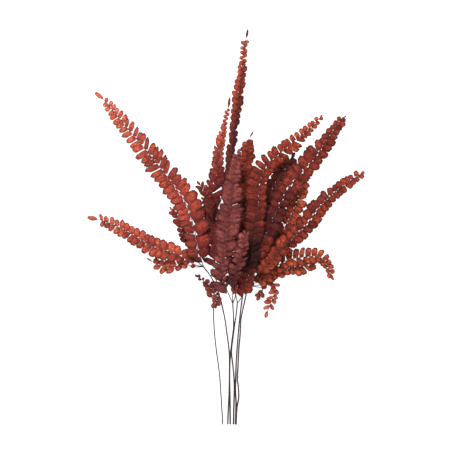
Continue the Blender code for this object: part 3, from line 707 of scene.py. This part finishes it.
def make_stipe(name, pinnae, finish):
    """One stipe with its arms: round rods that meet at the fork, where the stipe runs on by a
    millimetre into the arms."""
    surface = Surface()
    curve = smooth_route(STIPES[name])
    run_on = curve[-1] + unit(curve[-1] - curve[-4]) * MM
    rod(surface, np.vstack([curve, run_on]), STIPE_RADII[name], STIPE_MESH, STIPE_GROOVES, tone=0.5)
    for design in pinnae.values():
        arm = along(smooth_route(design["route"]), np.linspace(0, design["arm"] + ARM_END, 40) * MM)
        rod(surface, arm, ARM_RADIUS, ARM_MESH, tone=0.5)
    return surface.object(f"{name}_bark", finish)


# ---------------------------------------------------------------- finishes
class Term:
    """One value on its way through a material's nodes; arithmetic on it adds Math nodes."""

    def __init__(self, graph, socket):
        self.graph = graph
        self.socket = socket

    def math(self, operation, *values):
        return self.graph.node("ShaderNodeMath", {"operation": operation}, dict(enumerate(values)))

    def sine(self):
        return self.math("SINE", self)

    def __add__(self, other):
        return self.math("ADD", self, other)

    def __sub__(self, other):
        return self.math("SUBTRACT", self, other)

    def __rsub__(self, other):
        return self.math("SUBTRACT", other, self)

    def __mul__(self, other):
        return self.math("MULTIPLY", self, other)

    __radd__ = __add__
    __rmul__ = __mul__


class Finish:
    """A material and the means to add nodes to it."""

    def __init__(self, name):
        self.material = bpy.data.materials.new(name)
        self.material.use_nodes = True
        self.tree = self.material.node_tree
        self.tree.nodes.clear()

    def node(self, kind, settings=None, sockets=None, output=0):
        """Adds a node with its settings and the values or links of its sockets, by name or number."""
        made = self.tree.nodes.new(kind)
        for key, value in (settings or {}).items():
            setattr(made, key, value)
        for key, value in (sockets or {}).items():
            if isinstance(value, Term):
                self.tree.links.new(value.socket, made.inputs[key])
            else:
                made.inputs[key].default_value = value
        return Term(self, made.outputs[output]) if len(made.outputs) else None

    def value(self, name):
        """A named value at the surface's points."""
        return self.node("ShaderNodeAttribute", {"attribute_name": name}, output="Fac")

    def noise(self, scale, detail, roughness):
        """Smooth random values, from 0 to 1, that lie still on the object; scale is per metre."""
        place = self.node("ShaderNodeTexCoord", output="Object")
        sockets = {"Vector": place, "Scale": scale, "Detail": detail, "Roughness": roughness}
        return self.node("ShaderNodeTexNoise", None, sockets, output="Fac")

    def ease(self, value, low, high, start=0.0, end=1.0):
        """Start below low and end above high, with a smooth step between them."""
        sockets = {"Value": value, "From Min": low, "From Max": high, "To Min": start, "To Max": end}
        return self.node("ShaderNodeMapRange", {"interpolation_type": "SMOOTHSTEP"}, sockets)

    def blend(self, share, first, second):
        """A colour between the first and the second."""
        settings = {"data_type": "RGBA", "clamp_factor": True}
        return self.node("ShaderNodeMix", settings, {0: share, 6: first, 7: second}, output=2)

    def surface(self, shader):
        self.node("ShaderNodeOutputMaterial", None, {"Surface": shader})
        return self.material


def colour(red, green, blue):
    """Linear colour from display values of 0 to 255."""
    display = np.array([red, green, blue]) / 255
    linear = np.where(display <= 0.04045, display / 12.92, ((display + 0.055) / 1.055) ** 2.4)
    return (*linear, 1.0)


# Patches and grains per metre
BLOTCHES = 260.0
MOTTLES = 230.0
# patches of painted highlight
PAINTED_HIGHLIGHTS = 310.0
SPECKS = 1400.0
BARK_STREAKS = 420.0
BARK_GRAIN = 2600.0

# Muted mauve of the highlight painted on leaves with painted shade
SHADED_HIGHLIGHT = (150, 74, 70)
TWIG = ((58, 27, 27), (104, 54, 50))  # rachis and stalks, dark and light
BARK = ((28, 14, 14), (74, 50, 48))

# Bright, deep and rim colours, the colour of painted shade and of random mottles, the colour of painted
# light, how patchy, and the share of light let through
FINISHES = {
    "coral": ((208, 82, 55), (150, 42, 33), (70, 26, 30), (104, 38, 40), (248, 134, 98), 0.6, 0.32),
    "brick": ((170, 54, 34), (108, 29, 22), (48, 17, 20), (50, 16, 14), (216, 98, 64), 0.6, 0.28),
    "mauve": ((148, 67, 62), (98, 37, 36), (50, 18, 21), (60, 22, 21), (186, 94, 88), 0.6, 0.2),
    "brown": ((118, 44, 32), (78, 26, 22), (42, 16, 18), (36, 13, 11), (174, 76, 62), 0.5, 0.25),
}


def leaf_finish(name, bright, deep, rim_colour, shade_and_mottle_colour, lit_colour, patchy, glow):
    """Dry pinnule. Its body goes from deep to bright with its own tone, blotches and specks, and is
    brightest in the middle and at the end, partly from the leaf's own darker margin and partly from
    painted shade at its edges, where neighbours overlap; veins of deep fan out from the foot. The
    shade value paints shade as it falls from 1 to 0, taking the colour towards the shade colour, and
    paints light above 1, taking it towards the lit colour. Over that lie random mottles of the shade
    colour and patches of painted highlight, in a muted mauve on leaves with painted shade and in the
    lit colour on lit ones. Painted shade darkens the foot, and the outer rim has its own colour.
    Rachis and stalks are masked in as twigs. The share glow of the light comes through from behind."""
    finish = Finish(name)
    tone, rim, reach = finish.value("tone"), finish.value("rim"), finish.value("reach")
    fan, wood, shade = finish.value("fan"), finish.value("wood"), finish.value("shade")
    blotch = finish.noise(BLOTCHES, 3.0, 0.6)
    speck = finish.noise(SPECKS, 2.0, 0.6)
    mottle = finish.ease(finish.noise(MOTTLES, 4.0, 0.8), 0.42, 0.6)
    # Random patches where highlight is painted
    painted_highlight = finish.ease(finish.noise(PAINTED_HIGHLIGHTS, 3.0, 0.8), 0.46, 0.62)
    veins = finish.ease((fan * 17.0 + tone * 9.0).sine(), -0.2, 0.9)

    grain = tone * 0.6 + blotch * 0.6 + speck * 0.15
    # Brightest in the middle and at the end: partly the leaf's own darker margin, partly painted shade at
    # the edges, where neighbours overlap
    lightness = finish.ease(grain + (1.0 - rim) * 0.5 + reach * 0.15, 0.25, 1.0)
    body = finish.blend(lightness, deep, bright)
    veined = finish.blend(veins * 0.3, body, deep)
    # Painted light: as shade rises above 1 the colour goes towards the lit colour
    painted_lit = finish.blend((shade - 1.0) * 0.8, veined, lit_colour)
    # Painted shade: as shade falls from 1 to 0 the colour goes towards the shade colour
    shaded = finish.blend(shade, shade_and_mottle_colour, painted_lit)
    mottled = finish.blend(mottle * patchy, shaded, shade_and_mottle_colour)
    # Painted highlight: muted mauve on leaves with painted shade, the lit colour on lit ones, stronger
    # where more light is painted
    highlight_colour = finish.blend((shade - 0.4) * 1.6, colour(*SHADED_HIGHLIGHT), lit_colour)
    lit = finish.blend(painted_highlight * (shade + 0.15) * patchy * 0.9, mottled, highlight_colour)
    # Painted shade at the foot, where the pinnule meets the rachis and its neighbours
    foot_shaded = finish.blend(finish.ease(reach, 0.0, 0.6, 0.5, 0.0), lit, shade_and_mottle_colour)
    border = finish.ease(rim, 0.45, 0.95) * finish.ease(reach, 0.05, 0.6)
    rimmed = finish.blend(border * 0.75, foot_shaded, rim_colour)
    twig = finish.blend(blotch, *(colour(*tint) for tint in TWIG))
    skin = finish.blend(wood, rimmed, twig)

    relief = finish.node(
        "ShaderNodeBump", None,
        {"Strength": 0.8, "Distance": 0.0012, "Height": veins * -0.3 - mottle * 0.6 + speck * 0.3})
    leaf = finish.node(
        "ShaderNodeBsdfPrincipled", None,
        {"Base Color": skin, "Roughness": 0.5 + speck * 0.3, "Specular IOR Level": 0.2,
         "Normal": relief})
    through = finish.node("ShaderNodeBsdfTranslucent", None, {"Color": skin, "Normal": relief})
    shader = finish.node("ShaderNodeMixShader", None, {0: (1.0 - wood) * glow, 1: leaf, 2: through})
    return finish.surface(shader)


def stipe_finish():
    """Wiry bark: near black with a soft gloss, greyer in long streaks."""
    finish = Finish("stipe_bark")
    streak = finish.noise(BARK_STREAKS, 3.0, 0.6)
    grain = finish.noise(BARK_GRAIN, 2.0, 0.5)
    tint = finish.blend(finish.ease(streak, 0.35, 0.75), *(colour(*tint) for tint in BARK))
    relief = finish.node("ShaderNodeBump", None, {"Strength": 0.3, "Distance": 0.0003, "Height": grain})
    return finish.surface(finish.node(
        "ShaderNodeBsdfPrincipled", None,
        {"Base Color": tint, "Roughness": 0.4 + grain * 0.25, "Specular IOR Level": 0.25,
         "Normal": relief}))


def leaf_finishes():
    return {
        name: leaf_finish(f"pinnule_{name}", *(colour(*tint) for tint in tints), patchy, glow)
        for name, (*tints, patchy, glow) in FINISHES.items()
    }


# ---------------------------------------------------------------- stage
CAMERA_PLACE = (-0.0001, 0.001)
CAMERA_HEIGHT = 4.0
FRAME_HEIGHT = 0.02  # the middle of the bunch's depth
FRAME_WIDTH = 0.678  # what the camera sees from side to side at that height
SENSOR = 36.0
FLOOR_REACH = 4.0
FLOOR_GREY = 0.3
FLOOR_GLOW = 0.9  # keeps the floor white under soft shadows
SKY_STRENGTH = 0.57
LIGHTS = {  # place and width in metres, power in watts
    "key": ((-0.6, 1.4, 2.1), 0.8, 100),
    "fill": ((1.4, -0.6, 2.0), 1.8, 12),
}


def make_floor():
    mesh = bpy.data.meshes.new("floor")
    far = FLOOR_REACH
    mesh.from_pydata([(-far, -far, 0), (far, -far, 0), (far, far, 0), (-far, far, 0)], [], [(0, 1, 2, 3)])
    floor = bpy.data.objects.new("floor", mesh)
    bpy.context.scene.collection.objects.link(floor)
    finish = Finish("floor_white")
    shader = finish.node(
        "ShaderNodeBsdfPrincipled", None,
        {"Base Color": (FLOOR_GREY, FLOOR_GREY, FLOOR_GREY, 1.0), "Roughness": 0.9,
         "Emission Color": (1.0, 1.0, 1.0, 1.0), "Emission Strength": FLOOR_GLOW})
    mesh.materials.append(finish.surface(shader))
    return floor


def add_light(name, place, width, power):
    """A round lamp that faces the middle of the bunch."""
    data = bpy.data.lights.new(name, "AREA")
    data.shape = "DISK"
    data.size = width
    data.energy = power
    light = bpy.data.objects.new(name, data)
    bpy.context.scene.collection.objects.link(light)
    light.location = place
    light.rotation_euler = (-Vector(place)).to_track_quat("-Z", "Y").to_euler()


def add_camera():
    """Looks straight down; its lens is the sensor's width over the frame's, times their distance."""
    camera = bpy.data.objects.new("camera", bpy.data.cameras.new("camera"))
    bpy.context.scene.collection.objects.link(camera)
    camera.location = (*CAMERA_PLACE, CAMERA_HEIGHT)
    camera.data.sensor_width = SENSOR
    camera.data.lens = SENSOR * (CAMERA_HEIGHT - FRAME_HEIGHT) / FRAME_WIDTH
    camera.data.clip_end = 20.0
    camera.data.dof.use_dof = False
    bpy.context.scene.camera = camera


def make_stage():
    make_floor()
    for name, (place, width, power) in LIGHTS.items():
        add_light(name, place, width, power)
    world = bpy.data.worlds.new("studio")
    bpy.context.scene.world = world
    world.use_nodes = True
    sky = world.node_tree.nodes["Background"]
    sky.inputs["Color"].default_value = (1, 1, 1, 1)
    sky.inputs["Strength"].default_value = SKY_STRENGTH
    add_camera()
    bpy.context.scene.view_settings.view_transform = "Standard"


def main():
    make_stage()
    finishes = leaf_finishes()
    bark = stipe_finish()
    seed = FIRST_SEED
    for stipe, pinnae in PINNAE.items():
        piece = make_stipe(stipe, pinnae, bark)
        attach(piece, "root")
        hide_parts(stipe)
        for label, design in pinnae.items():
            traits = LOOKS[label]
            rng = np.random.default_rng(seed)
            seed += 1
            blade = make_pinna(f"{label}_leaves", design, traits, finishes[traits["colour"]], rng)
            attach(blade, "root")
            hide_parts(f"pinna_{label}")


main()
